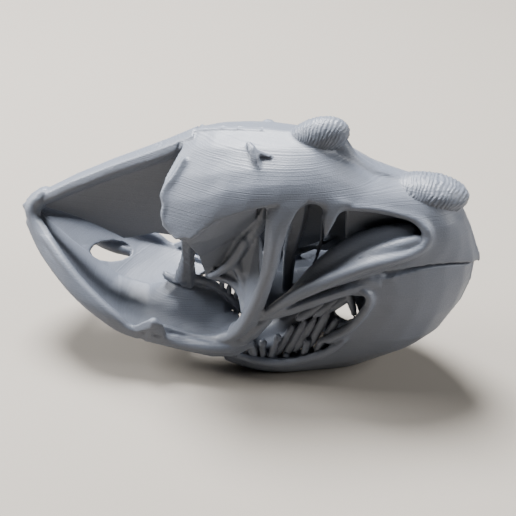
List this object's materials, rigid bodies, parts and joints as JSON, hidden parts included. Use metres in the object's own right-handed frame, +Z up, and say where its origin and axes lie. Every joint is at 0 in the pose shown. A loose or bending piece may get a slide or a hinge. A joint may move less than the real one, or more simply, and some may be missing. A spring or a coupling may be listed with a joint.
{
  "type": "dinosaur skull model",
  "caption": "Long, low dinosaur skull with closed jaws, open cheek struts, bossed brow and nose and a dish-like hind floor; rests on its lower jaw as a display or teaching model.",
  "frame": {"origin": "middle of the bounding box, on the level surface that the lower jaw rests on", "axes": "+X along the length toward the snout, +Y to the skull's left, +Z up"},
  "size_m": [0.162, 0.0544, 0.0947],
  "materials": {
    "print_gray": "matte gray printed plastic with fine level layer lines"
  },
  "bodies": {
    "root": {"skull": "print_gray"}
  },
  "joints": []
}
